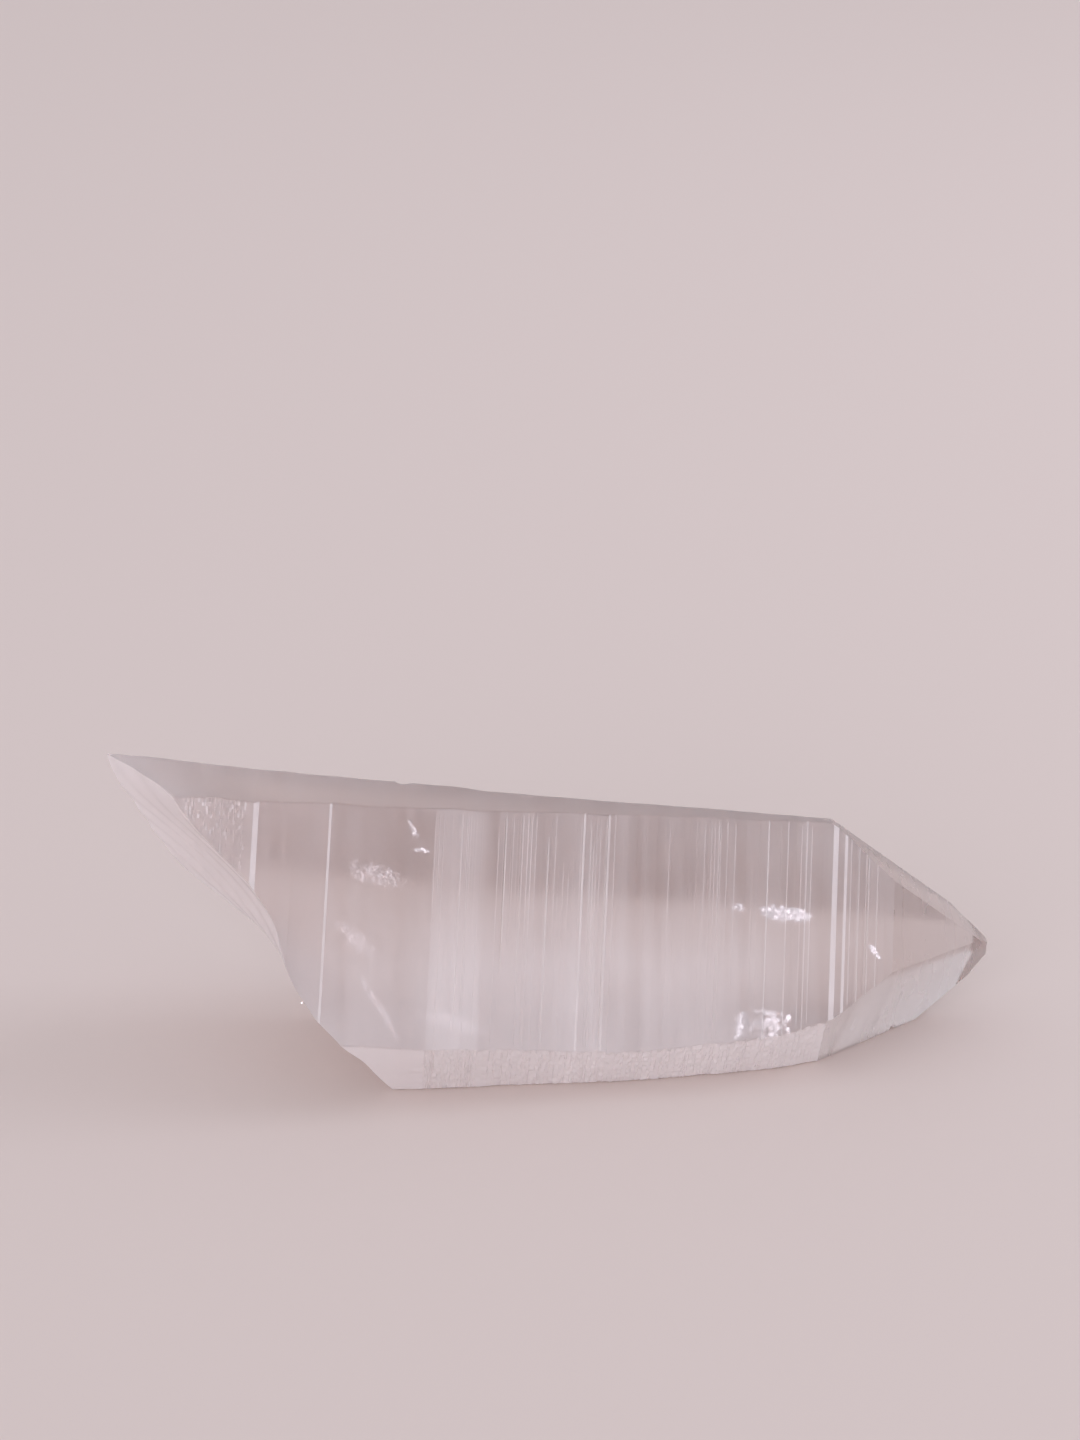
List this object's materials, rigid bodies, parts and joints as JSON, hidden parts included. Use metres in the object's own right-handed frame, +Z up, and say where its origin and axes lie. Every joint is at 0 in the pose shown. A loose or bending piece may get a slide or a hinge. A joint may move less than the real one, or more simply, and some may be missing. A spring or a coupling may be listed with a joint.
{
  "type": "smoky quartz point",
  "caption": "Natural smoky quartz crystal with ledged, tapering prism faces, a rhomb-faced tip and a slanting broken base, lying on a prism face as a display specimen.",
  "frame": {"origin": "bottom centre of the bounding box, in the plane of the face it lies on", "axes": "+X along the crystal towards the tip, +Y to the back, +Z up"},
  "size_m": [0.1084, 0.0354, 0.0358],
  "materials": {
    "smoky_quartz": "natural crystal faces, glossy, frosted on ledges and on the break"
  },
  "bodies": {
    "root": {"quartz_point": "smoky_quartz"}
  },
  "joints": []
}
